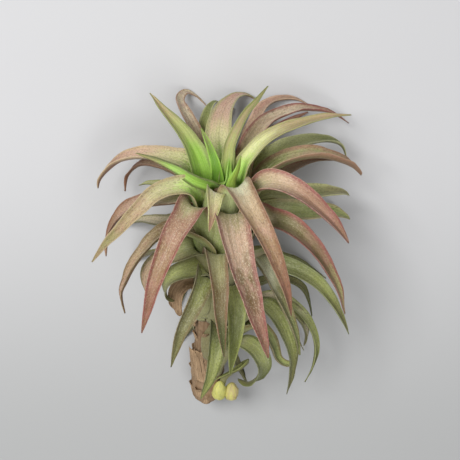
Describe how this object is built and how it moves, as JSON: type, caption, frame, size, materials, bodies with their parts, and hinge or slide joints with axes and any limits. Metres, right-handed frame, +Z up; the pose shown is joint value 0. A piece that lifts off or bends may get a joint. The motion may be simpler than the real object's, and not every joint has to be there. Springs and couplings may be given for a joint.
{
  "type": "red tillandsia ionantha air plant",
  "caption": "Long-stemmed air plant lying on its back: a leafy stem with a green-hearted crown of recurved, channelled, pink-flushed leaves.",
  "frame": {"origin": "on the surface that the plant lies on, under the middle of its outline", "axes": "+Y along the lying plant from the foot of its stem toward its crown, +Z up from the surface, +X to the right seen from above with the crown up"},
  "size_m": [0.1307, 0.1712, 0.0956],
  "materials": {
    "young_leaf": "satin, fresh green heart leaves with fine lines",
    "flushed_leaf": "matte, beige-pink flush over grey-green with silver scurf",
    "mature_leaf": "matte grey-green with silver scurf",
    "dry_sheath": "dry, papery, tan",
    "stem": "matte, fibrous brown",
    "offset_bud": "satin yellow-green"
  },
  "bodies": {
    "root": {"stem": "stem", "young_leaf_1": "young_leaf", "young_leaf_2": "young_leaf", "young_leaf_3": "young_leaf", "young_leaf_4": "young_leaf", "young_leaf_5": "young_leaf", "young_leaf_6": "young_leaf", "young_leaf_7": "young_leaf", "young_leaf_8": "flushed_leaf", "crown_leaf_1": "flushed_leaf", "crown_leaf_2": "mature_leaf", "crown_leaf_3": "flushed_leaf", "crown_leaf_4": "flushed_leaf", "crown_leaf_5": "flushed_leaf", "crown_leaf_6": "mature_leaf", "crown_leaf_7": "flushed_leaf", "left_leaf_1": "flushed_leaf", "left_leaf_2": "flushed_leaf", "left_leaf_3": "flushed_leaf", "left_leaf_4": "flushed_leaf", "left_leaf_5": "mature_leaf", "front_leaf_1": "flushed_leaf", "front_leaf_2": "flushed_leaf", "front_leaf_3": "flushed_leaf", "front_leaf_4": "flushed_leaf", "front_leaf_5": "flushed_leaf", "front_leaf_6": "mature_leaf", "right_leaf_1": "flushed_leaf", "right_leaf_2": "mature_leaf", "right_leaf_3": "mature_leaf", "right_leaf_4": "mature_leaf", "lower_leaf_1": "mature_leaf", "lower_leaf_2": "mature_leaf", "lower_leaf_3": "mature_leaf", "lower_leaf_4": "mature_leaf", "lower_leaf_5": "mature_leaf", "lower_leaf_6": "mature_leaf", "lower_leaf_7": "mature_leaf", "lower_leaf_8": "mature_leaf", "lower_leaf_9": "mature_leaf", "lower_leaf_10": "mature_leaf", "lower_leaf_12": "mature_leaf", "lower_leaf_13": "mature_leaf", "lower_leaf_11": "mature_leaf", "under_leaf_1": "flushed_leaf", "under_leaf_2": "flushed_leaf", "under_leaf_3": "mature_leaf", "under_leaf_4": "mature_leaf", "under_leaf_5": "mature_leaf", "under_leaf_6": "mature_leaf", "under_leaf_7": "mature_leaf", "under_leaf_8": "mature_leaf", "under_leaf_9": "mature_leaf", "under_leaf_10": "mature_leaf", "under_leaf_11": "mature_leaf", "under_leaf_12": "mature_leaf", "under_leaf_13": "mature_leaf", "dry_leaf": "dry_sheath", "offset_bud": "offset_bud"}
  },
  "joints": []
}
